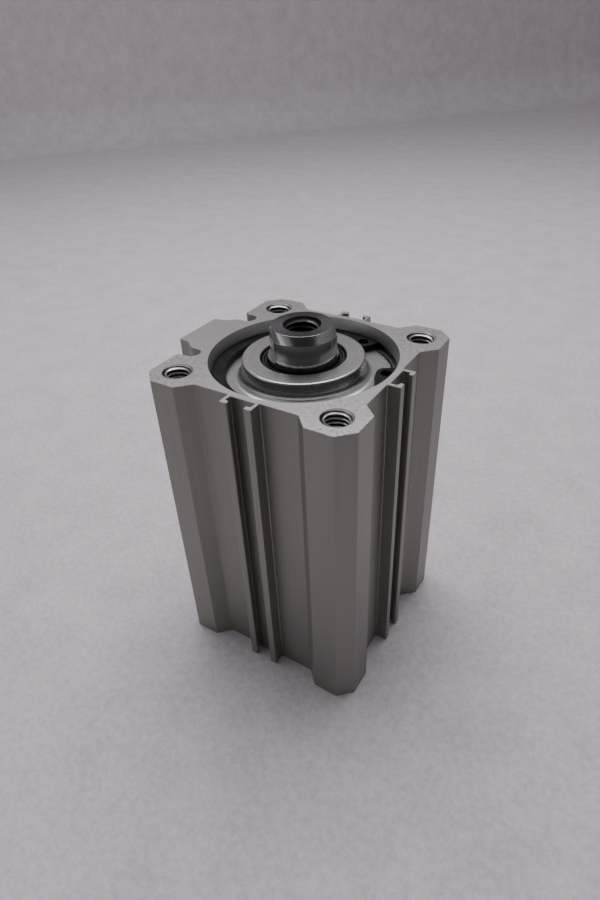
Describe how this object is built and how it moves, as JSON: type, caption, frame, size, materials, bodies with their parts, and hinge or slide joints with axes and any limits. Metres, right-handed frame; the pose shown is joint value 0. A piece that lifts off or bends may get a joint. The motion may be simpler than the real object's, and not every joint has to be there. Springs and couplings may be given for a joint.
{
  "type": "pneumatic cylinder",
  "caption": "Compact square-body pneumatic cylinder with a short chromed piston rod, female rod thread, wrench flats, sensor rails on its sides and a port boss along one side.",
  "frame": {"origin": "centre of the head-end face, on the bore axis, at the middle of the head cover's raised boss", "axes": "+Z along the bore axis towards the rod tip; -X towards the port boss; the other three sides carry the sensor rails"},
  "size_m": [0.057, 0.052, 0.0868],
  "materials": {
    "anodised_tube": "satin hard-anodised extrusion, ends machined",
    "turned_aluminium": "turned",
    "hard_chrome": "ground and hard chromed",
    "phosphated_steel": "black phosphated spring steel",
    "nitrile": "matt",
    "urethane": "satin",
    "bronze": "sintered",
    "piston_aluminium": "machined",
    "wear_resin": "matt",
    "bonded_magnet": "matt",
    "plated_steel": "zinc plated"
  },
  "bodies": {
    "barrel": {"cylinder_tube": "anodised_tube", "rod_collar": "turned_aluminium", "rod_bushing": "bronze", "rod_seal": "nitrile", "collar_o_ring": "nitrile", "front_bumper": "urethane", "front_retaining_ring": "phosphated_steel", "head_cover": "turned_aluminium", "head_cover_o_ring": "nitrile", "head_retaining_ring": "phosphated_steel", "rear_bumper": "urethane"},
    "piston_seals": {"piston_seal": "nitrile", "piston_wear_ring": "wear_resin"},
    "rod": {"piston_rod": "hard_chrome", "piston_front_half": "piston_aluminium", "piston_rear_half": "piston_aluminium", "piston_magnet": "bonded_magnet", "piston_o_ring": "nitrile", "piston_washer": "plated_steel", "piston_nut": "plated_steel"}
  },
  "joints": [
    {"name": "rod_slide", "type": "slide", "parent": "barrel", "child": "piston_seals", "axis": [0, 0, 1], "range_m": [0, 0.04]},
    {"name": "rod_turn", "type": "hinge", "parent": "piston_seals", "child": "rod", "pos_m": [0, 0, 0.02], "axis": [0, 0, 1], "continuous": true}
  ]
}
